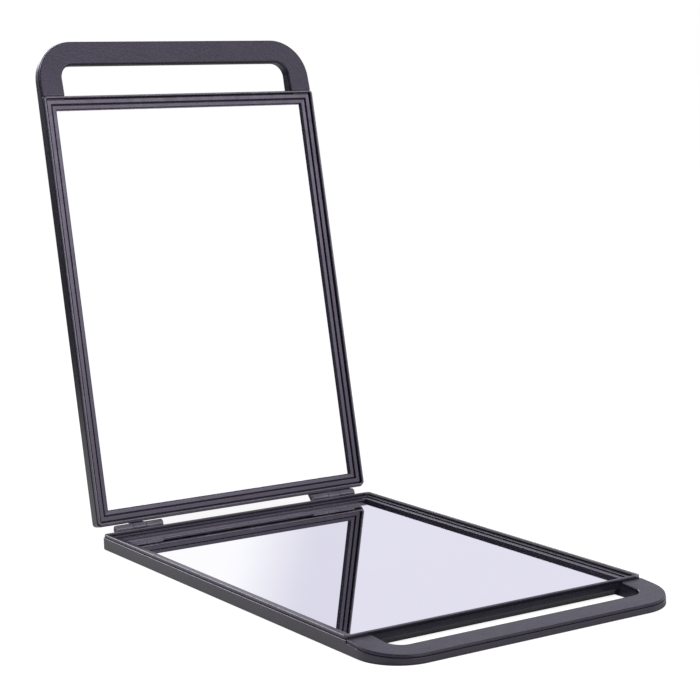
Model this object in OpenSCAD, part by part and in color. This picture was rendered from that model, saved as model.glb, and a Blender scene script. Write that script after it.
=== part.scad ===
// Folding double mirror for a hairdresser: two framed mirror leaves, each with a
// loop handle, hinged together along one short edge by two knuckle hinges.
// Both leaves are the same moulding, so the upper one is the lower one turned over.
// Millimetres. The lower leaf lies on Z = 0 and the origin is the middle of its underside.
// In a leaf's own frame X runs from the hinge end to the handle, Z from its back to its lip.

/* [Leaf] */
// Width of a leaf
leaf_w = 240; // [220:1:280]
// Length of the framed panel, from the hinge end to the handle slot
frame_len = 327; // [260:1:380]
// Thickness of a leaf over its lip
leaf_t = 12; // [11.5:0.1:14]

/* [Back shell] */
// Thickness of the side walls
wall_t = 1.3; // [1.1:0.1:1.6]
// Thickness of the floor
floor_t = 1.8; // [1.4:0.1:2.4]
// Rounding under the outer edge
edge_r = 1.4; // [1:0.1:1.7]
// Rounding of the rim beside the parting line
rim_r = 0.5; // [0.3:0.05:0.6]

/* [Bezel] */
// Open parting line between the rim and the bezel
part_gap = 0.5; // [0.3:0.05:0.8]
// How far the lip stands inside the outer wall
lip_inset = 0.4; // [0.2:0.05:0.6]
// How much further in the bezel stands at the hinge end
end_inset = 1; // [0:0.1:1.6]
// Width of the lip round the panel
lip_w = 1.5; // [1.5:0.1:2.6]
// Height of the lip above the parting line
lip_h = 2.2; // [1.8:0.1:2.8]
// Rounding of the lip
lip_r = 0.55; // [0.3:0.05:0.7]
// Width of the deep groove inside the lip
groove_w = 1.1; // [0.6:0.1:1.4]
// Depth of the deep groove below the lip
groove_depth = 3; // [2.5:0.1:3.2]
// Width of the outer band
outer_band_w = 3.4; // [2.5:0.1:4.5]
// Step from the lip down to the outer band
outer_band_drop = 2.1; // [1.5:0.1:2.4]
// Width of the shallow groove between the bands
mid_groove_w = 0.9; // [0.5:0.1:1.2]
// Depth of the shallow groove below the outer band
mid_groove_depth = 1.4; // [1:0.1:1.5]
// Width of the inner band
inner_band_w = 3.5; // [2.5:0.1:4.5]
// Step from the lip down to the inner band's outer side
inner_band_drop = 2.9; // [2.6:0.1:3.1]
// Fall of the inner band towards the glass
inner_band_fall = 0.1; // [0:0.05:0.6]
// Rounding of the bands' outer edges
band_r = 0.3; // [0.2:0.05:0.4]
// Rounding of the outer band's inner edge
outer_band_r = 0.6; // [0.3:0.1:1]
// Rounding of the inner band's edge beside the glass
inner_band_r = 1; // [0.3:0.1:1.2]
// Thickness of the skirt that stands inside the shell
skirt_t = 1.2; // [1:0.1:1.4]
// Clearance between the skirt and the shell's wall
skirt_gap = 0.15; // [0.1:0.05:0.3]

/* [Handle] */
// Length of the finger slot, along the leaf
slot_len = 24.5; // [22:0.5:32]
// Radius of the slot's two outer corners
slot_r = 11; // [5:0.5:12]
// Undercut at 45 degrees below the slot's panel side, for the fingertips
undercut = 5.5; // [4:0.1:5.6]
// Width of the bar at the handle's outer end
end_bar_w = 18.5; // [16:0.5:24]
// Width of the bars beside the slot
side_bar_w = 19; // [16:0.5:28]
// Radius of the handle loop's outer corners
handle_r = 31; // [24:1:36]
// Step from the lip down to the handle's face at its root
face_drop = 2.1; // [1.9:0.1:2.4]
// Fall of the handle's face from its root to its outer end
face_fall = 3.3; // [2:0.1:3.8]
// Thickness of the face plate
plate_t = 1.7; // [1.4:0.1:2]
// Rounding of the face plate's outer edge
face_r = 0.8; // [0.5:0.05:1]
// Bevel of the face plate round the slot
slot_bevel = 0.5; // [0.3:0.05:0.8]

/* [Mirror] */
// Thickness of the mirror glass
glass_t = 2; // [1.8:0.1:3]
// Depth of the glass below the lip
glass_depth = 5.4; // [4.6:0.1:6.9]
// Clearance between the glass and the skirt
glass_gap = 0.5; // [0.3:0.1:1]
// Clearance between the backing sheet and the skirt
backing_gap = 1.5; // [1:0.1:3]

/* [Hinge] */
// Angle between the two mirrors in the stored pose
open_angle = 102.2; // [90:0.1:120]
// Distance of the hinge axis behind the leaves' end walls
axis_back = 3.55; // [3.5:0.05:5]
// Gap between the two lips when the mirror is closed
closed_gap = 0.3; // [0.3:0.05:0.8]
// Diameter of the knuckles
knuckle_d = 6.4; // [5.5:0.1:6.4]
// Diameter of a hinge pin
pin_d = 2; // [1.6:0.1:2.5]
// Slope of the underside of the knuckles' tabs
tab_angle = 30; // [20:1:45]
// Distance from the leaf's side to the nearer end of a hinge
hinge_edge = 12.9; // [8:0.1:30]
// Length of a hinge over its knuckles
hinge_len = 39; // [34:0.5:40]
// Length of the middle knuckle
middle_len = 10.6; // [8:0.1:14]
// Gap beside the middle knuckle
knuckle_gap = 0.4; // [0.3:0.05:0.8]
// How far the web between a leaf's two tabs stands out, which closes the hinge's back
web_out = 0.8; // [0.5:0.1:1]
// How far a pin's ends stand inside its knuckles
pin_recess = 0.5; // [0.2:0.1:1]
// Radial clearance of a pin in the knuckles that hold it
held_gap = 0.02; // [0.01:0.01:0.04]
// Radial clearance of a pin in the knuckle that turns on it
turning_gap = 0.06; // [0.03:0.01:0.09]

/* [Hidden] */

handle_len = slot_len + end_bar_w;
leaf_len = frame_len + handle_len;
half_w = leaf_w / 2;
slot_w = leaf_w - 2 * side_bar_w;

// How far cuts run clear of the leaf
clear_cut = 20;
// How far joined parts of one solid overlap
lap = 0.5;

// Heights in a leaf, from its back
parting_h = leaf_t - lip_h;
rim_h = parting_h - part_gap;
groove_h = leaf_t - groove_depth;
outer_band_h = leaf_t - outer_band_drop;
mid_groove_h = outer_band_h - mid_groove_depth;
inner_band_h = leaf_t - inner_band_drop;
glass_top = leaf_t - glass_depth;
glass_bottom = glass_top - glass_t;

// Distances from a leaf's outer wall, inboard
skirt_out = wall_t + skirt_gap;
skirt_in = skirt_out + skirt_t;
lip_in = lip_inset + lip_w;
outer_band_out = lip_in + groove_w;
outer_band_in = outer_band_out + outer_band_w;
inner_band_out = outer_band_in + mid_groove_w;
inner_band_in = inner_band_out + inner_band_w;

// The lip and the groove turn the panel's corners about the outer band's sharp corner
corner_r = outer_band_out;

// The handle's face and rim fall together towards its outer end
face_slope = face_fall / handle_len;
face_tilt = atan(face_slope);
function face_h(x) = leaf_t - face_drop - face_slope * (x - frame_len);
function plate_h(x) = face_h(x) - plate_t;
function handle_rim_h(x) = plate_h(x) - part_gap;
handle_cx = leaf_len - handle_r;
root_x = frame_len - corner_r;

// The ledge over the undercut, on which the skirts stand beside the slot
ledge_in = skirt_in + 0.2;

// The hinge axis in a leaf's own frame
axis_h = leaf_t + closed_gap / 2;
knuckle_r = knuckle_d / 2;
outer_len = (hinge_len - middle_len) / 2 - knuckle_gap;
web_low = rim_h - 5;
web_high = rim_h - rim_r;
hinge_y = half_w - hinge_edge - hinge_len / 2;

// Curve steps
ARC_STEPS = 4;
BAND_STEPS = 8;
TURN_STEPS = 8;
RING_FN = 96;
EDGE_FN = 16;
ROUND_FN = 64;

plastic = [0.17, 0.17, 0.19];
face_plastic = [0.22, 0.22, 0.24];
silvered = [0.86, 0.87, 0.92];
board = [0.62, 0.6, 0.55];
steel = [0.7, 0.7, 0.72];

// Points of an arc from angle a to angle b
function arc(x, y, r, a, b, steps = ARC_STEPS) =
    [for (i = [0 : steps]) let (t = a + (b - a) * i / steps) [x + r * cos(t), y + r * sin(t)]];

// The bezel's corners in turn: where each lies, which way is inboard, where its turn starts
TURNS = [[frame_len, -half_w, -1, 1, -90], [frame_len, half_w, -1, -1, 0],
         [end_inset, half_w, 1, -1, 90], [end_inset, -half_w, 1, 1, 180]];

// Stations on the bezel's outer edge with the way inboard, round its corners or mitred
function rounded_run() =
    [for (c = TURNS) for (i = [0 : TURN_STEPS]) let (t = c[4] + 90 * i / TURN_STEPS)
        [c[0] + corner_r * (c[2] + cos(t)), c[1] + corner_r * (c[3] + sin(t)), -cos(t), -sin(t)]];
function mitred_run() = [for (c = TURNS) [c[0], c[1], c[2], c[3]]];

// Carries a section, as points inboard and up, along a closed run of stations
module carried(run, section) {
    m = len(section);
    n = len(run);
    polyhedron(
        [for (f = run) for (q = section) [f[0] + q[0] * f[2], f[1] + q[0] * f[3], q[1]]],
        [for (i = [0 : n - 1]) for (j = [0 : m - 1])
            let (a = i * m, b = ((i + 1) % n) * m, k = (j + 1) % m) [a + j, a + k, b + k, b + j]]);
}

// A leaf's outline from above, drawn in by i
module leaf_plan(i) {
    translate([corner_r, i - half_w]) square([handle_cx - corner_r, leaf_w - 2 * i]);
    translate([i, corner_r - half_w]) square([corner_r - i, leaf_w - 2 * corner_r]);
    translate([handle_cx, handle_r - half_w]) square([handle_r - i, leaf_w - 2 * handle_r]);
    for (s = [-1, 1]) {
        translate([corner_r, s * (half_w - corner_r)]) circle(corner_r - i, $fn = ROUND_FN);
        translate([handle_cx, s * (half_w - handle_r)]) circle(handle_r - i, $fn = RING_FN);
    }
}

// The rectangle inside the bezel's edge, drawn in by i and at the handle by far_i
module panel_plan(i, far_i) {
    translate([end_inset + i, i - half_w]) square([frame_len - end_inset - i - far_i, leaf_w - 2 * i]);
}

// The finger slot's outline, let out by o
module slot_plan(o) {
    far_x = frame_len + slot_len - slot_r;
    side = slot_w / 2 - slot_r;
    translate([frame_len - o, -slot_w / 2 - o]) square([slot_len - slot_r + o, slot_w + 2 * o]);
    translate([far_x, -side]) square([slot_r + o, 2 * side]);
    for (s = [-1, 1]) translate([far_x, s * side]) circle(slot_r + o, $fn = ROUND_FN);
}

// A side view's outline, as wide as w across the leaf
module across(w) {
    rotate([90, 0, 0]) linear_extrude(w, center = true) children();
}

// The side view of what lies under a sloping line, from x0 to x1
module under_slope(x0, x1, low, h0, h1) {
    polygon([[x0, low], [x1, low], [x1, h1], [x0, h0]]);
}

// The outer half of a ring of round section, lying flat
module half_ring(r, section_r) {
    rotate([0, 0, -90]) rotate_extrude(angle = 180, $fn = RING_FN)
        translate([r, 0]) circle(section_r, $fn = EDGE_FN);
}

// The outer half of a disc
module half_disc(r, h) {
    rotate([0, 0, -90]) rotate_extrude(angle = 180, $fn = RING_FN) square([r, h]);
}

// The shell's section, from the outer wall inboard by d
module wall_section(d, top) {
    polygon(concat([[d, 0], [d, top]],
        arc(rim_r, top - rim_r, rim_r, 90, 180), arc(edge_r, edge_r, edge_r, 180, 270)));
}

// Runs a section along a panel's two long sides, from x0 to x1
module along_sides(x0, x1) {
    for (s = [0, 1]) mirror([0, s, 0])
        translate([x0, -half_w, 0]) rotate([90, 0, 90]) linear_extrude(x1 - x0) children();
}

// Turns a section round both corners at the hinge end
module round_corners() {
    for (s = [0, 1]) mirror([0, s, 0]) translate([corner_r, corner_r - half_w, 0])
        rotate([0, 0, 180]) rotate_extrude(angle = 90, $fn = ROUND_FN) intersection() {
            translate([corner_r, 0]) mirror([1, 0]) children();
            square([corner_r, leaf_t]);
        }
}

// The panel's part of the shell as a solid slab with rounded edges
module panel_slab() {
    inside = corner_r - lap;
    along_sides(corner_r, frame_len) wall_section(corner_r, rim_h);
    across(leaf_w - 2 * corner_r) wall_section(corner_r, rim_h);
    round_corners() wall_section(corner_r, rim_h);
    translate([inside, inside - half_w, 0])
        cube([frame_len - inside, leaf_w - 2 * inside, rim_h]);
}

// The handle's part of the shell, rounded below and along its sloping rim
module handle_slab() {
    hull() {
        along_sides(root_x, root_x + 1) wall_section(corner_r, handle_rim_h(root_x + 1));
        for (s = [-1, 1]) translate([handle_cx, s * (half_w - handle_r), 0]) {
            translate([0, 0, edge_r]) half_ring(handle_r - edge_r, edge_r);
            translate([0, 0, handle_rim_h(handle_cx) - rim_r]) rotate([0, face_tilt, 0])
                half_ring(handle_r - rim_r, rim_r);
        }
    }
}

// One solid tab and knuckle on the end wall, from y0 over length l
module knuckle(y0, l) {
    low = axis_h - knuckle_r / cos(tab_angle) - axis_back * tan(tab_angle);
    translate([0, y0 + l / 2, 0]) across(l) polygon([
        [wall_t / 2, low],
        [wall_t / 2, rim_h - rim_r],
        [0, rim_h - rim_r],
        [knuckle_r - axis_back, axis_h],
        [-axis_back, axis_h],
        [-axis_back - knuckle_r * sin(tab_angle), axis_h - knuckle_r * cos(tab_angle)],
        [0, low]]);
    translate([-axis_back, y0, axis_h]) rotate([-90, 0, 0]) cylinder(l, r = knuckle_r, $fn = ROUND_FN);
}

// The low web on the end wall between this leaf's two outer tabs
module tab_web() {
    translate([-web_out, held_y + outer_len - lap, web_low])
        cube([web_out + wall_t / 2, hinge_len - 2 * outer_len + 2 * lap, web_high - web_low]);
}

// The bore for a pin along the hinge axis, from y0 over length l
module pin_bore(y0, l, gap) {
    translate([-axis_back, y0, axis_h]) rotate([-90, 0, 0])
        cylinder(l, r = pin_d / 2 + gap, $fn = ROUND_FN);
}

// Where the hinge with this leaf's two outer knuckles starts
held_y = -hinge_y - hinge_len / 2;
middle_y = hinge_y - middle_len / 2;

// The solid floor over the undercut, with its ledge
module slot_ledge() {
    across(slot_w + 2 * wall_t) polygon([
        [frame_len - lap, 0],
        [frame_len - lap, undercut],
        [frame_len - ledge_in, undercut],
        [frame_len - ledge_in, undercut + floor_t - ledge_in],
        [frame_len - undercut - floor_t, 0]]);
}

module slot_undercut() {
    across(slot_w) polygon([
        [frame_len + 1, undercut + 1],
        [frame_len + 1, -1],
        [frame_len - undercut - 1, -1]]);
}

module leaf_shell() {
    difference() {
        union() {
            difference() {
                union() {
                    panel_slab();
                    handle_slab();
                }
                translate([0, 0, floor_t]) linear_extrude(clear_cut) difference() {
                    leaf_plan(wall_t);
                    slot_plan(wall_t);
                }
                translate([0, 0, -1]) linear_extrude(clear_cut) slot_plan(0);
            }
            slot_ledge();
            knuckle(held_y, outer_len);
            knuckle(held_y + hinge_len - outer_len, outer_len);
            knuckle(middle_y, middle_len);
            tab_web();
        }
        slot_undercut();
        pin_bore(held_y - 1, hinge_len + 2, held_gap);
        pin_bore(middle_y - 1, middle_len + 2, turning_gap);
    }
}

// The lip, the deep groove and the skirt, from the outer wall inboard
function lip_section() = concat(
    [[skirt_out, floor_t], [skirt_out, parting_h], [lip_inset, parting_h]],
    arc(lip_inset + lip_r, leaf_t - lip_r, lip_r, 180, 90),
    arc(lip_in - lip_r, leaf_t - lip_r, lip_r, 90, 0),
    [[lip_in, groove_h], [corner_r - 0.1, groove_h], [corner_r - 0.1, glass_top],
     [skirt_in, glass_top], [skirt_in, floor_t]]);

// The two bands and the shallow groove between them, lapping under the deep groove
function band_section() = concat(
    [[corner_r - lap, glass_top], [corner_r - lap, groove_h], [outer_band_out, groove_h]],
    arc(outer_band_out + band_r, outer_band_h - band_r, band_r, 180, 90),
    arc(outer_band_in - outer_band_r, outer_band_h - outer_band_r, outer_band_r, 90, 0, BAND_STEPS),
    [[outer_band_in, mid_groove_h], [inner_band_out, mid_groove_h]],
    arc(inner_band_out + band_r, inner_band_h - band_r, band_r, 180, 90),
    arc(inner_band_in - inner_band_r, inner_band_h - inner_band_fall - inner_band_r, inner_band_r,
        90, 0, BAND_STEPS),
    [[inner_band_in, glass_top]]);

// The handle's face plate before the slot is cut, rounded along its outer edge
module face_slab() {
    plate_half = half_w - lip_inset;
    plate_r = handle_r - lip_inset;
    start_x = frame_len + part_gap;
    hull() {
        for (s = [0, 1]) mirror([0, s, 0])
            translate([start_x, -half_w, 0]) rotate([90, 0, 90]) linear_extrude(1)
                polygon(concat([[half_w, plate_h(start_x)], [half_w, face_h(start_x)]],
                    arc(lip_inset + face_r, face_h(start_x) - face_r, face_r, 90, 180),
                    [[lip_inset, plate_h(start_x)]]));
        for (s = [-1, 1]) translate([handle_cx, s * (plate_half - plate_r), 0]) {
            translate([0, 0, face_h(handle_cx) - face_r]) rotate([0, face_tilt, 0])
                half_ring(plate_r - face_r, face_r);
            translate([0, 0, plate_h(handle_cx)]) rotate([0, face_tilt, 0])
                half_disc(plate_r, face_r);
        }
    }
}

// The cut for the slot through the face plate, bevelled at the face
module slot_cut() {
    cut_x = frame_len + slot_len / 2;
    linear_extrude(clear_cut) slot_plan(lip_inset);
    hull() for (e = [0, 1]) translate([0, 0, face_h(frame_len) - slot_bevel + e * 2 * slot_bevel])
        multmatrix([[1, 0, 0, 0], [0, 1, 0, 0], [-face_slope, 0, 1, face_slope * frame_len]])
            linear_extrude(0.01) slot_plan(lip_inset + e * 2 * slot_bevel);
}

// Skirts inside the handle's outer wall and round the slot's wall
module handle_skirts() {
    intersection() {
        translate([0, 0, floor_t]) linear_extrude(leaf_t) {
            difference() {
                leaf_plan(skirt_out);
                leaf_plan(skirt_in);
            }
            difference() {
                slot_plan(skirt_in);
                slot_plan(skirt_out);
            }
        }
        across(leaf_w) under_slope(frame_len - skirt_in, leaf_len, 0,
            plate_h(frame_len - skirt_in) + plate_t / 4, plate_h(leaf_len) + plate_t / 4);
    }
}

// Joins the face plate to the panel's bezel under the lip, on both sides of the slot
module face_root() {
    root_end = frame_len + 2 * part_gap + lip_inset;
    difference() {
        across(leaf_w - 2 * skirt_out) polygon([
            [root_x, plate_h(root_x)], [root_end, plate_h(root_end)],
            [root_end, face_h(root_end)], [frame_len - lip_inset, face_h(frame_len - lip_inset)],
            [frame_len - lip_inset, parting_h], [root_x, parting_h]]);
        translate([root_x - 1, -slot_w / 2 - skirt_out, 0])
            cube([corner_r + 1 + part_gap, slot_w + 2 * skirt_out, leaf_t]);
    }
}

module leaf_bezel() {
    difference() {
        union() {
            carried(rounded_run(), lip_section());
            carried(mitred_run(), band_section());
            handle_skirts();
        }
        translate([frame_len - skirt_in - lap, -slot_w / 2 - skirt_out, 0])
            cube([skirt_in + 2 * lap, slot_w + 2 * skirt_out, undercut]);
    }
    difference() {
        union() {
            face_slab();
            face_root();
        }
        slot_cut();
    }
}

module leaf_glass() {
    edge = skirt_in + glass_gap;
    far_edge = undercut + floor_t - glass_bottom + glass_gap;
    translate([0, 0, glass_bottom]) linear_extrude(glass_t) panel_plan(edge, max(edge, far_edge));
}

module leaf_backing() {
    translate([0, 0, floor_t]) linear_extrude(glass_bottom - floor_t)
        panel_plan(skirt_in + backing_gap, undercut + lap);
}

// The pin in this leaf's own pair of outer knuckles
module leaf_pin() {
    translate([-axis_back, held_y + pin_recess, axis_h]) rotate([-90, 0, 0])
        cylinder(hinge_len - 2 * pin_recess, d = pin_d, $fn = ROUND_FN);
}

// Puts a leaf in the lower place, flat on its back
module lower() {
    translate([-leaf_len / 2, 0, 0]) children();
}

// Puts a leaf in the upper place: turned over, then opened about the hinge axis
module upper() {
    translate([-leaf_len / 2 - axis_back, 0, axis_h]) rotate([0, -open_angle, 0])
        translate([axis_back, 0, axis_h]) rotate([180, 0, 0]) children();
}

module base_back_shell() { color(plastic) lower() leaf_shell(); }
module base_bezel() { color(face_plastic) lower() leaf_bezel(); }
module base_mirror_glass() { color(silvered) lower() leaf_glass(); }
module base_backing_sheet() { color(board) lower() leaf_backing(); }
module lid_back_shell() { color(plastic) upper() leaf_shell(); }
module lid_bezel() { color(face_plastic) upper() leaf_bezel(); }
module lid_mirror_glass() { color(silvered) upper() leaf_glass(); }
module lid_backing_sheet() { color(board) upper() leaf_backing(); }
module hinge_pin_left() { color(steel) lower() leaf_pin(); }
module hinge_pin_right() { color(steel) upper() leaf_pin(); }

base_back_shell();
base_bezel();
base_mirror_glass();
base_backing_sheet();
lid_back_shell();
lid_bezel();
lid_mirror_glass();
lid_backing_sheet();
hinge_pin_left();
hinge_pin_right();
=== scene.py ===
# Folding hairdresser's mirror: finishes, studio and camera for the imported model.
# The two leaves, their mirrors and the hinge are the CAD nodes themselves. This
# script smooths their round faces, gives each its material and lights them.

import math

import bpy
from mathutils import Matrix, Vector

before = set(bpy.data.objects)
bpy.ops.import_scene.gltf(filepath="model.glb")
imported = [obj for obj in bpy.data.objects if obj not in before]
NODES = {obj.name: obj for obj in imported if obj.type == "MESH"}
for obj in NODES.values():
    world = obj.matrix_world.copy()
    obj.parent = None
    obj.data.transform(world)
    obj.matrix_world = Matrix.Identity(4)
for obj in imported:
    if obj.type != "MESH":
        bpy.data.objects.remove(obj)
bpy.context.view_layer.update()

MM = 0.001


def grey(level):
    """A neutral colour."""
    return (level, level, level, 1)


# Camera, solved from the object's straight edges in the photograph
CAMERA_AT = Vector((1.0937, -0.7474, 0.3541))
CAMERA_AZIMUTH = math.radians(-33.668)
CAMERA_HEIGHT_ANGLE = math.radians(8.324)
CAMERA_ROLL = math.radians(-0.867)
SENSOR_W = 36.0
LENS = 99.866
CLIP_END = 200

# The leaves' own frame: x from the hinge end to the handle, z from the back to the lip
LEAF_LEN = 370 * MM
FRAME_LEN = 327 * MM
LEAF_HALF_W = 120 * MM
LEAF_T = 12 * MM
LEAF_END = 1 * MM
AXIS_BACK = 3.55 * MM
AXIS_H = 12.15 * MM
OPEN_ANGLE = math.radians(102.2)

# Edges up to this angle are shaded round
SMOOTH_ANGLE = math.radians(12)

# Plastic: its colours, how much it mirrors and how rough it is from place to place
PLASTIC_DARK = (0.012, 0.0105, 0.017, 1)
PLASTIC_LIGHT = (0.017, 0.015, 0.024, 1)
PLASTIC_WORN = (0.034, 0.031, 0.043, 1)
# Lip top colour: rub wear with a painted highlight
PLASTIC_RUB_AND_HIGHLIGHT = (0.08, 0.075, 0.093, 1)
# Painted highlight on the lower leaf's far lip
FAR_LIP_PAINTED_HIGHLIGHT = (0.17, 0.165, 0.175, 1)
# Painted shade for the grooves and the gap outside the lip
GROOVE_PAINTED_SHADE = (0.004, 0.0038, 0.005, 1)
PLASTIC_SHEEN = (0.96, 0.9, 1.0, 1)
PLASTIC_IOR = 1.5
SHINE = 0.5
HANDLE_SHINE = 0.36
# Lower shine where shade is painted in the grooves
GROOVE_SHADE_SHINE = 0.2
ROUGHNESS = (0.2, 0.28)
HANDLE_ROUGHER = 0.06
MOULD_RELIEF = 0.02 * MM
MOULD_STRENGTH = 0.25

# Lip top lightened by rub wear with a painted highlight, and a painted highlight on the lower
# leaf's far lip: where each starts and is full, as depths below the lip's top, and for the far
# lip also how far in from the lower leaf's far side
RUB_AND_HIGHLIGHT_DEPTHS = (1.0 * MM, 0.6 * MM)
RUB_AND_HIGHLIGHT_LEAST = 0.7
FAR_LIP_HIGHLIGHT_DEPTHS = (1.8 * MM, 1.2 * MM)
FAR_LIP_HIGHLIGHT_WIDTHS = (5 * MM, 4 * MM)

# Painted shade round the bezel, outside the lip and in the two grooves: from where to where
# measured in from the frame's outline, and the depths below the lip where it is full and ends
GROOVES = ((-1.0 * MM, 0.55 * MM), (1.9 * MM, 3.0 * MM), (6.4 * MM, 7.3 * MM))
GROOVE_SOFTNESS = 0.06 * MM
GROOVE_SHADE_DEPTHS = (2.4 * MM, 1.4 * MM)

# Leather grain on the handle's face: where it starts past the frame, its pebbles per metre,
# how noise bends them, their relief, and how worn their tops are
GRAIN_START = (0.8 * MM, 1.2 * MM)
PEBBLES = 620.0
PEBBLE_SMOOTHNESS = 0.6
PEBBLE_SPAN = (0.15, 0.75)
BENDS = 500.0
BEND_DETAIL = 2.0
BEND_REACH = 1.1 * MM
GRAIN_RELIEF = 0.08 * MM
GRAIN_STRENGTH = 0.4
WORN_SPAN = (0.2, 0.9)
WORN_MOST = 0.3

# Mirror, packing board and steel
SILVER = (0.94, 0.94, 0.95, 1)
SILVER_SMUDGED = (0.93, 0.93, 0.94, 1)
BOARD_DARK = (0.30, 0.27, 0.23, 1)
BOARD_LIGHT = (0.42, 0.38, 0.32, 1)
BOARD_ROUGHNESS = 0.9
BOARD_RELIEF = 0.1 * MM
BOARD_STRENGTH = 0.4
FIBRE_STRETCH = 0.25
STEEL_DARK = (0.48, 0.48, 0.49, 1)
STEEL_LIGHT = (0.60, 0.60, 0.61, 1)
STEEL_ROUGHNESS = (0.26, 0.42)
SCRATCH_STRETCH = 0.03

# Noise fields as scale per metre, detail and roughness
CLOUDS = (22.0, 4.0, 0.55)
SPECKS = (1900.0, 2.0, 0.6)
RUB_AND_HIGHLIGHT_PATCHES = (60.0, 3.0, 0.6)
SATIN = (130.0, 3.0, 0.55)
HAZE = (14.0, 5.0, 0.6)
FIBRES = (900.0, 4.0, 0.7)
SCRATCHES = (5000.0, 3.0, 0.6)
FLOOR_CLOUDS = (3.0, 3.0, 0.5)

# The span of a noise that its ramp draws out
NOISE_SPAN = (0.3, 0.7)
CLOUD_SPAN = (0.35, 0.65)
PATCH_SPAN = (0.42, 0.62)
HAZE_SPAN = (0.45, 0.75)
SCRATCH_SPAN = (0.2, 0.8)

# Floor: it glows nearly white to the camera and the first mirror. In other reflections it
# darkens between the near and the far distance, and a shadow is painted into its glow under the
# lower leaf
FLOOR_HALF = 30.0
FLOOR_PLAIN = grey(0.8)
FLOOR_CLOUDED = grey(0.82)
FLOOR_GLOW = 0.84
FLOOR_TONE = grey(0.3)
FLOOR_NEAR = 0.4
FLOOR_FAR = 1.2
FLOOR_NEAR_GLOW = 0.5
FLOOR_FAR_GLOW = 0.05
FLOOR_FAR_TONE = grey(0.06)
UNDER_LEAF = (-4 * MM, 3 * MM)
UNDER_LEAF_SHADOW_GLOW = 0.15

# Room in reflections: sides are angles about the vertical from +X, heights are the sine of
# the angle above the horizon, and fades say how softly a side ends
ROOM_BACK = (0.80, 0.785, 0.90, 1)
ROOM_FRONT = (0.16, 0.15, 0.18, 1)
ROOM_FRONT_SIDE = math.radians(27)
ROOM_FRONT_FADE = 0.06
PANEL_SIDES = (math.radians(-5), math.radians(39.3))
PANEL_FADES = (0.08, 0.05)
PANEL_RISE = (0.10, 0.33)
PANEL_RISE_POWER = 2.0
PANEL_FALL = (0.36, 0.46)
PANEL_TOP = (0.75, 0.87)
PANEL_LOW = (1.6, 1.52, 1.78, 1)
PANEL_HIGH = (6.5, 6.15, 7.2, 1)
PANEL_IN_MIRROR = (1.09, 1.09, 1.12, 1)
RIM_SIDES = (math.radians(160), math.radians(215))
RIM_FADES = (0.08, 0.08)
RIM_FOOT = (0.2, 0.3)
RIM_TOP = (0.64, 0.76)
RIM_PANEL = (6.5, 6.1, 7.2, 1)
ROOM_LIGHT = grey(0.55)
WHITE = grey(1.0)

# Soft boxes: where each stands and its watts
SOFT_BOX_SIZE = 1.4
SOFT_BOXES = {"key": ((0.6, -0.9, 1.6), 26), "fill": ((1.2, 0.9, 1.2), 8)}
LIGHT_AIM = Vector((0, 0, 0.1))


def lid_to_leaf():
    """Carries a point of the upper leaf, as it stands open, into the leaf's own frame."""
    place = (
        Matrix.Translation((-LEAF_LEN / 2 - AXIS_BACK, 0, AXIS_H))
        @ Matrix.Rotation(-OPEN_ANGLE, 4, "Y")
        @ Matrix.Translation((AXIS_BACK, 0, AXIS_H))
        @ Matrix.Rotation(math.pi, 4, "X")
    )
    return place.inverted()


def base_to_leaf():
    """Carries a point of the lower leaf into the leaf's own frame."""
    return Matrix.Translation((LEAF_LEN / 2, 0, 0))


LEAF_FRAMES = {"base": base_to_leaf(), "lid": lid_to_leaf()}


class Nodes:
    """A small helper that makes a node tree in a few words."""

    def __init__(self, tree):
        self.tree = tree
        self.tree.nodes.clear()

    def add(self, kind, inputs=None, **settings):
        node = self.tree.nodes.new(kind)
        for key, value in settings.items():
            setattr(node, key, value)
        for key, value in (inputs or {}).items():
            self.put(node.inputs[key], value)
        return node

    def put(self, socket, value):
        if isinstance(value, bpy.types.NodeSocket):
            self.tree.links.new(value, socket)
        else:
            socket.default_value = value

    def math(self, operation, a, b=0.0, clamp=False):
        return self.add(
            "ShaderNodeMath", {0: a, 1: b}, operation=operation, use_clamp=clamp
        ).outputs[0]

    def ramp(self, value, low, high, out_low=0.0, out_high=1.0, smooth=False):
        return self.add(
            "ShaderNodeMapRange",
            {
                "Value": value, "From Min": low, "From Max": high,
                "To Min": out_low, "To Max": out_high,
            },
            interpolation_type="SMOOTHSTEP" if smooth else "LINEAR",
        ).outputs["Result"]

    def mix(self, factor, a, b):
        """Mixes two colours. The node's colour sockets come after those of its other types."""
        return self.add(
            "ShaderNodeMix", {"Factor": factor, 6: a, 7: b}, data_type="RGBA"
        ).outputs[2]

    def blend(self, factor, a, b):
        """Mixes two plain values."""
        return self.add("ShaderNodeMix", {0: factor, 2: a, 3: b}, data_type="FLOAT").outputs[0]

    def noise(self, where, scale, detail, roughness):
        return self.add(
            "ShaderNodeTexNoise",
            {"Vector": where, "Scale": scale, "Detail": detail, "Roughness": roughness},
        ).outputs["Fac"]

    def bump(self, height, strength, relief, normal=None):
        node = self.add(
            "ShaderNodeBump", {"Strength": strength, "Distance": relief, "Height": height}
        )
        if normal is not None:
            self.put(node.inputs["Normal"], normal)
        return node.outputs["Normal"]

    def surface(self, inputs):
        return self.add("ShaderNodeBsdfPrincipled", inputs).outputs["BSDF"]


def material(name, build, *args):
    made = bpy.data.materials.new(name)
    made.use_nodes = True
    nodes = Nodes(made.node_tree)
    out = nodes.add("ShaderNodeOutputMaterial")
    nodes.put(out.inputs["Surface"], build(nodes, *args))
    return made


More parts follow.
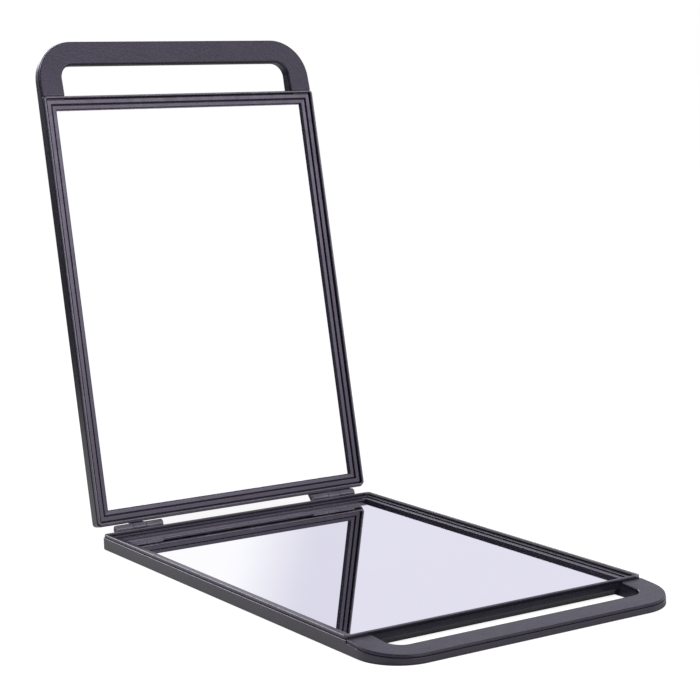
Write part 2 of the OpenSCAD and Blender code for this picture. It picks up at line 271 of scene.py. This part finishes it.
def leaf_position(nodes, leaf):
    """Where a point lies in its leaf's own frame, in metres."""
    to_leaf = LEAF_FRAMES[leaf]
    coords = nodes.add("ShaderNodeTexCoord").outputs["Object"]
    return nodes.add(
        "ShaderNodeMapping",
        {
            "Vector": coords,
            "Location": to_leaf.to_translation(),
            "Rotation": to_leaf.to_euler(),
        },
        vector_type="POINT",
    ).outputs["Vector"]


def stretched(nodes, place, share):
    """A place whose texture is drawn out along the hinge's direction."""
    return nodes.add(
        "ShaderNodeMapping", {"Vector": place, "Scale": (1.0, share, 1.0)}
    ).outputs["Vector"]


def groove_shade_mask(nodes, axes):
    """1 down in the bezel's grooves and in the gap outside the lip, where shade is painted, and 0
    elsewhere.
    """
    side = nodes.math("SUBTRACT", LEAF_HALF_W, nodes.math("ABSOLUTE", axes.outputs["Y"]))
    end = nodes.math("SUBTRACT", axes.outputs["X"], LEAF_END)
    root = nodes.math("SUBTRACT", FRAME_LEN, axes.outputs["X"])
    inwards = nodes.math("MINIMUM", side, nodes.math("MINIMUM", end, root))
    soft = GROOVE_SOFTNESS
    total = 0.0
    for start, stop in GROOVES:
        here = nodes.math(
            "MULTIPLY",
            nodes.ramp(inwards, start - soft, start + soft),
            nodes.ramp(inwards, stop - soft, stop + soft, 1.0, 0.0),
        )
        total = nodes.math("ADD", here, total)
    full, ends = GROOVE_SHADE_DEPTHS
    low = nodes.ramp(axes.outputs["Z"], LEAF_T - full, LEAF_T - ends, 1.0, 0.0)
    return nodes.math("MULTIPLY", total, low)


def lip_wear_and_highlights(nodes, leaf, place, axes, colour):
    """Lightens the lip's top with rub wear and a painted highlight, and paints a highlight on the
    lower leaf's far lip.
    """
    start, full = RUB_AND_HIGHLIGHT_DEPTHS
    # Rub wear and painted highlight: the lip's top lightens in patches
    rub_and_highlight = nodes.ramp(axes.outputs["Z"], LEAF_T - start, LEAF_T - full)
    patches = nodes.ramp(nodes.noise(place, *RUB_AND_HIGHLIGHT_PATCHES), *PATCH_SPAN, RUB_AND_HIGHLIGHT_LEAST, 1.0)
    colour = nodes.mix(nodes.math("MULTIPLY", rub_and_highlight, patches), colour, PLASTIC_RUB_AND_HIGHLIGHT)
    # Painted highlight: the lower leaf's far lip is much lighter
    if leaf == "base":
        start, full = FAR_LIP_HIGHLIGHT_WIDTHS
        far_side = nodes.ramp(axes.outputs["Y"], LEAF_HALF_W - start, LEAF_HALF_W - full)
        start, full = FAR_LIP_HIGHLIGHT_DEPTHS
        far_lip_highlight = nodes.ramp(axes.outputs["Z"], LEAF_T - start, LEAF_T - full)
        colour = nodes.mix(nodes.math("MULTIPLY", far_lip_highlight, far_side), colour, FAR_LIP_PAINTED_HIGHLIGHT)
    return colour


def leather_pebbles(nodes, place):
    """1 on top of the leather grain's pebbles and 0 in the creases between them."""
    bends = nodes.add(
        "ShaderNodeTexNoise", {"Vector": place, "Scale": BENDS, "Detail": BEND_DETAIL}
    )
    reach = nodes.add(
        "ShaderNodeVectorMath", {0: bends.outputs["Color"], "Scale": BEND_REACH},
        operation="SCALE",
    ).outputs[0]
    bent = nodes.add("ShaderNodeVectorMath", {0: place, 1: reach}, operation="ADD").outputs[0]
    from_middle = nodes.add(
        "ShaderNodeTexVoronoi",
        {"Vector": bent, "Scale": PEBBLES, "Smoothness": PEBBLE_SMOOTHNESS},
        feature="SMOOTH_F1",
    ).outputs["Distance"]
    return nodes.ramp(from_middle, *PEBBLE_SPAN, 1.0, 0.0, smooth=True)


def moulded_plastic(nodes, leaf, bezel):
    """Satin charcoal plastic: fine mould texture and a lip top lightened by rub wear and a
    painted highlight. A bezel also has leather grain on its handle and painted shade in its
    grooves.
    """
    place = leaf_position(nodes, leaf)
    axes = nodes.add("ShaderNodeSeparateXYZ", {0: place})
    clouds = nodes.noise(place, *CLOUDS)
    specks = nodes.noise(place, *SPECKS)
    colour = nodes.mix(nodes.ramp(clouds, *CLOUD_SPAN), PLASTIC_DARK, PLASTIC_LIGHT)
    colour = lip_wear_and_highlights(nodes, leaf, place, axes, colour)
    rough = nodes.ramp(nodes.noise(place, *SATIN), *NOISE_SPAN, *ROUGHNESS)
    normal = nodes.bump(specks, MOULD_STRENGTH, MOULD_RELIEF)
    shine = SHINE
    if bezel:
        start, full = GRAIN_START
        on_handle = nodes.ramp(axes.outputs["X"], FRAME_LEN + start, FRAME_LEN + full)
        pebbles = leather_pebbles(nodes, place)
        height = nodes.math("MULTIPLY", pebbles, on_handle)
        normal = nodes.bump(height, GRAIN_STRENGTH, GRAIN_RELIEF, normal)
        rough = nodes.math("ADD", rough, nodes.math("MULTIPLY", on_handle, HANDLE_ROUGHER))
        shine = nodes.ramp(on_handle, 0.0, 1.0, SHINE, HANDLE_SHINE)
        worn = nodes.ramp(pebbles, *WORN_SPAN, 0.0, WORN_MOST)
        colour = nodes.mix(nodes.math("MULTIPLY", on_handle, worn), colour, PLASTIC_WORN)
        # Painted shade: darker colour and lower shine down in the grooves and the gap outside the
        # lip
        groove_shade = groove_shade_mask(nodes, axes)
        colour = nodes.mix(groove_shade, colour, GROOVE_PAINTED_SHADE)
        shine = nodes.math("MULTIPLY", shine, nodes.ramp(groove_shade, 0.0, 1.0, 1.0, GROOVE_SHADE_SHINE))
    return nodes.surface(
        {
            "Base Color": colour, "Roughness": rough, "IOR": PLASTIC_IOR,
            "Specular IOR Level": shine, "Specular Tint": PLASTIC_SHEEN, "Normal": normal,
        }
    )


def silvered_glass(nodes, leaf):
    """A clean mirror with the faintest haze of handling."""
    place = leaf_position(nodes, leaf)
    haze = nodes.ramp(nodes.noise(place, *HAZE), *HAZE_SPAN)
    colour = nodes.mix(haze, SILVER, SILVER_SMUDGED)
    return nodes.surface({"Base Color": colour, "Metallic": 1.0, "Roughness": 0.0})


def board(nodes, leaf):
    """Grey-brown packing board with short fibres."""
    place = leaf_position(nodes, leaf)
    fibres = nodes.noise(stretched(nodes, place, FIBRE_STRETCH), *FIBRES)
    colour = nodes.mix(nodes.ramp(fibres, *NOISE_SPAN), BOARD_DARK, BOARD_LIGHT)
    normal = nodes.bump(fibres, BOARD_STRENGTH, BOARD_RELIEF)
    return nodes.surface(
        {"Base Color": colour, "Roughness": BOARD_ROUGHNESS, "Normal": normal}
    )


def pin_steel(nodes, leaf):
    """Drawn steel wire, with scratches along the pin."""
    place = leaf_position(nodes, leaf)
    scratches = nodes.noise(stretched(nodes, place, SCRATCH_STRETCH), *SCRATCHES)
    colour = nodes.mix(nodes.ramp(scratches, *NOISE_SPAN), STEEL_DARK, STEEL_LIGHT)
    rough = nodes.ramp(scratches, *SCRATCH_SPAN, *STEEL_ROUGHNESS)
    return nodes.surface({"Base Color": colour, "Metallic": 1.0, "Roughness": rough})


def dress():
    """Gives each CAD node its finish and shades its round faces smoothly."""
    pins = {"base": "hinge_pin_left", "lid": "hinge_pin_right"}
    for leaf in ("base", "lid"):
        finishes = {
            leaf + "_back_shell": material(leaf + "_shell_plastic", moulded_plastic, leaf, False),
            leaf + "_bezel": material(leaf + "_bezel_plastic", moulded_plastic, leaf, True),
            leaf + "_mirror_glass": material(leaf + "_mirror", silvered_glass, leaf),
            leaf + "_backing_sheet": material(leaf + "_board", board, leaf),
            pins[leaf]: material(leaf + "_pin_steel", pin_steel, leaf),
        }
        for name, finish in finishes.items():
            mesh = NODES[name].data
            mesh.materials.clear()
            mesh.materials.append(finish)
            mesh.shade_smooth()
            mesh.set_sharp_from_angle(angle=SMOOTH_ANGLE)


def seen_straight(nodes, path):
    """1 for what the camera sees by itself or through glass, and 0 for all else."""
    return nodes.math(
        "ADD", path.outputs["Is Camera Ray"], path.outputs["Is Transmission Ray"], clamp=True
    )


def first_mirrored(nodes, path):
    """1 for a surface that the camera sees in one mirror, 0 for blurred and later reflections."""
    first = nodes.math("LESS_THAN", path.outputs["Ray Depth"], 1.5)
    return nodes.math("MULTIPLY", first, path.outputs["Is Singular Ray"])


def studio_floor(nodes):
    """Plain pale floor that reads white to the camera and keeps a faint shadow."""
    path = nodes.add("ShaderNodeLightPath")
    seen = seen_straight(nodes, path)
    seen = nodes.math("ADD", seen, path.outputs["Is Glossy Ray"], clamp=True)
    place = nodes.add("ShaderNodeTexCoord").outputs["Object"]
    away = nodes.add("ShaderNodeVectorMath", {0: place}, operation="LENGTH").outputs["Value"]
    far_glow = nodes.ramp(
        away, FLOOR_NEAR, FLOOR_FAR, FLOOR_NEAR_GLOW, FLOOR_FAR_GLOW, smooth=True
    )
    blurred = nodes.math(
        "SUBTRACT", path.outputs["Is Glossy Ray"], first_mirrored(nodes, path), clamp=True
    )
    glow_level = nodes.blend(blurred, FLOOR_GLOW, far_glow)
    flat = nodes.add("ShaderNodeSeparateXYZ", {0: place})
    along = nodes.math("SUBTRACT", LEAF_LEN / 2, nodes.math("ABSOLUTE", flat.outputs["X"]))
    aside = nodes.math("SUBTRACT", LEAF_HALF_W, nodes.math("ABSOLUTE", flat.outputs["Y"]))
    # Painted shadow: in blurred reflections the floor's glow drops under the lower leaf
    under_leaf_shadow = nodes.ramp(nodes.math("MINIMUM", along, aside), *UNDER_LEAF, smooth=True)
    under_leaf_shadow = nodes.math("MULTIPLY", under_leaf_shadow, blurred)
    glow_level = nodes.math(
        "MULTIPLY", glow_level, nodes.ramp(under_leaf_shadow, 0.0, 1.0, 1.0, UNDER_LEAF_SHADOW_GLOW)
    )
    fade = nodes.ramp(away, FLOOR_NEAR, FLOOR_FAR, smooth=True)
    fade = nodes.math("MULTIPLY", fade, blurred)
    clouds = nodes.noise(place, *FLOOR_CLOUDS)
    pale = nodes.mix(clouds, FLOOR_PLAIN, FLOOR_CLOUDED)
    plain = nodes.add("ShaderNodeBsdfDiffuse", {"Color": pale}).outputs[0]
    tone = nodes.mix(fade, FLOOR_TONE, FLOOR_FAR_TONE)
    shade = nodes.add("ShaderNodeBsdfDiffuse", {"Color": tone}).outputs[0]
    glow = nodes.add("ShaderNodeEmission", {"Color": WHITE, "Strength": glow_level}).outputs[0]
    bright = nodes.add("ShaderNodeAddShader", {0: shade, 1: glow}).outputs[0]
    return nodes.add("ShaderNodeMixShader", {0: seen, 1: plain, 2: bright}).outputs[0]


def make_floor():
    mesh = bpy.data.meshes.new("floor")
    h = FLOOR_HALF
    mesh.from_pydata([(-h, -h, 0), (h, -h, 0), (h, h, 0), (-h, h, 0)], [], [(0, 1, 2, 3)])
    floor = bpy.data.objects.new("floor", mesh)
    bpy.context.scene.collection.objects.link(floor)
    mesh.materials.append(material("studio_floor", studio_floor))


def make_world():
    """White to the camera, a studio with two panels in reflections, plain light elsewhere.

    The room is pale at the back and dark at the front. The panels are at full strength only in
    the plastic's blurred reflections. A mirror shows the nearer panel as a plain white.
    """
    world = bpy.data.worlds.new("studio")
    bpy.context.scene.world = world
    world.use_nodes = True
    nodes = Nodes(world.node_tree)
    path = nodes.add("ShaderNodeLightPath")
    way = nodes.add("ShaderNodeTexCoord").outputs["Generated"]

    def past(angle, fade, turn):
        """1 where the way lies past an angle about the vertical: counterclockwise with a turn
        of 1, clockwise with -1.
        """
        normal = (-turn * math.sin(angle), turn * math.cos(angle), 0)
        dot = nodes.add("ShaderNodeVectorMath", {0: way, 1: normal}, operation="DOT_PRODUCT")
        return nodes.ramp(dot.outputs["Value"], 0.0, fade, smooth=True)

    def between(sides, fades):
        return nodes.math("MULTIPLY", past(sides[0], fades[0], 1), past(sides[1], fades[1], -1))

    height = nodes.add("ShaderNodeSeparateXYZ", {0: way}).outputs["Z"]
    room = nodes.mix(past(ROOM_FRONT_SIDE, ROOM_FRONT_FADE, 1), ROOM_FRONT, ROOM_BACK)
    rise = nodes.math("POWER", nodes.ramp(height, *PANEL_RISE), PANEL_RISE_POWER)
    fall = nodes.ramp(height, *PANEL_FALL, 1.0, 0.0, smooth=True)
    rise = nodes.math("MULTIPLY", rise, fall)
    panel = nodes.mix(rise, PANEL_LOW, PANEL_HIGH)
    panel = nodes.mix(path.outputs["Is Singular Ray"], panel, PANEL_IN_MIRROR)
    across = between(PANEL_SIDES, PANEL_FADES)
    top = nodes.ramp(height, *PANEL_TOP, 1.0, 0.0, smooth=True)
    room = nodes.mix(nodes.math("MULTIPLY", across, top), room, panel)
    rim = between(RIM_SIDES, RIM_FADES)
    rim = nodes.math("MULTIPLY", rim, nodes.ramp(height, *RIM_FOOT, smooth=True))
    rim = nodes.math("MULTIPLY", rim, nodes.ramp(height, *RIM_TOP, 1.0, 0.0, smooth=True))
    room = nodes.mix(rim, room, RIM_PANEL)
    colour = nodes.mix(path.outputs["Is Glossy Ray"], ROOM_LIGHT, room)
    colour = nodes.mix(seen_straight(nodes, path), colour, WHITE)
    background = nodes.add("ShaderNodeBackground", {"Color": colour, "Strength": 1.0})
    out = nodes.add("ShaderNodeOutputWorld")
    nodes.put(out.inputs["Surface"], background.outputs[0])


def soft_light(name, at, watts):
    """A square soft box that faces the middle of the object and shows in no mirror."""
    lamp = bpy.data.lights.new(name, "AREA")
    lamp.shape = "SQUARE"
    lamp.size = SOFT_BOX_SIZE
    lamp.energy = watts
    box = bpy.data.objects.new(name, lamp)
    box.location = at
    box.rotation_euler = (LIGHT_AIM - Vector(at)).to_track_quat("-Z", "Y").to_euler()
    box.visible_glossy = False
    bpy.context.scene.collection.objects.link(box)


def make_camera():
    ca, sa = math.cos(CAMERA_AZIMUTH), math.sin(CAMERA_AZIMUTH)
    ch, sh = math.cos(CAMERA_HEIGHT_ANGLE), math.sin(CAMERA_HEIGHT_ANGLE)
    back = Vector((ch * ca, ch * sa, sh))
    right = (-back).cross(Vector((0, 0, 1))).normalized()
    up = back.cross(right)
    cr, sr = math.cos(CAMERA_ROLL), math.sin(CAMERA_ROLL)
    rolled_right = cr * right + sr * up
    rolled_up = cr * up - sr * right
    camera = bpy.data.objects.new("camera", bpy.data.cameras.new("camera"))
    camera.data.sensor_width = SENSOR_W
    camera.data.lens = LENS
    camera.data.clip_end = CLIP_END
    camera.matrix_world = Matrix.Translation(CAMERA_AT) @ Matrix(
        (rolled_right, rolled_up, back)).transposed().to_4x4()
    bpy.context.scene.collection.objects.link(camera)
    bpy.context.scene.camera = camera


make_camera()
make_world()
make_floor()
for box_name, (box_at, box_watts) in SOFT_BOXES.items():
    soft_light(box_name, box_at, box_watts)
dress()

bpy.context.scene.view_settings.view_transform = "Standard"
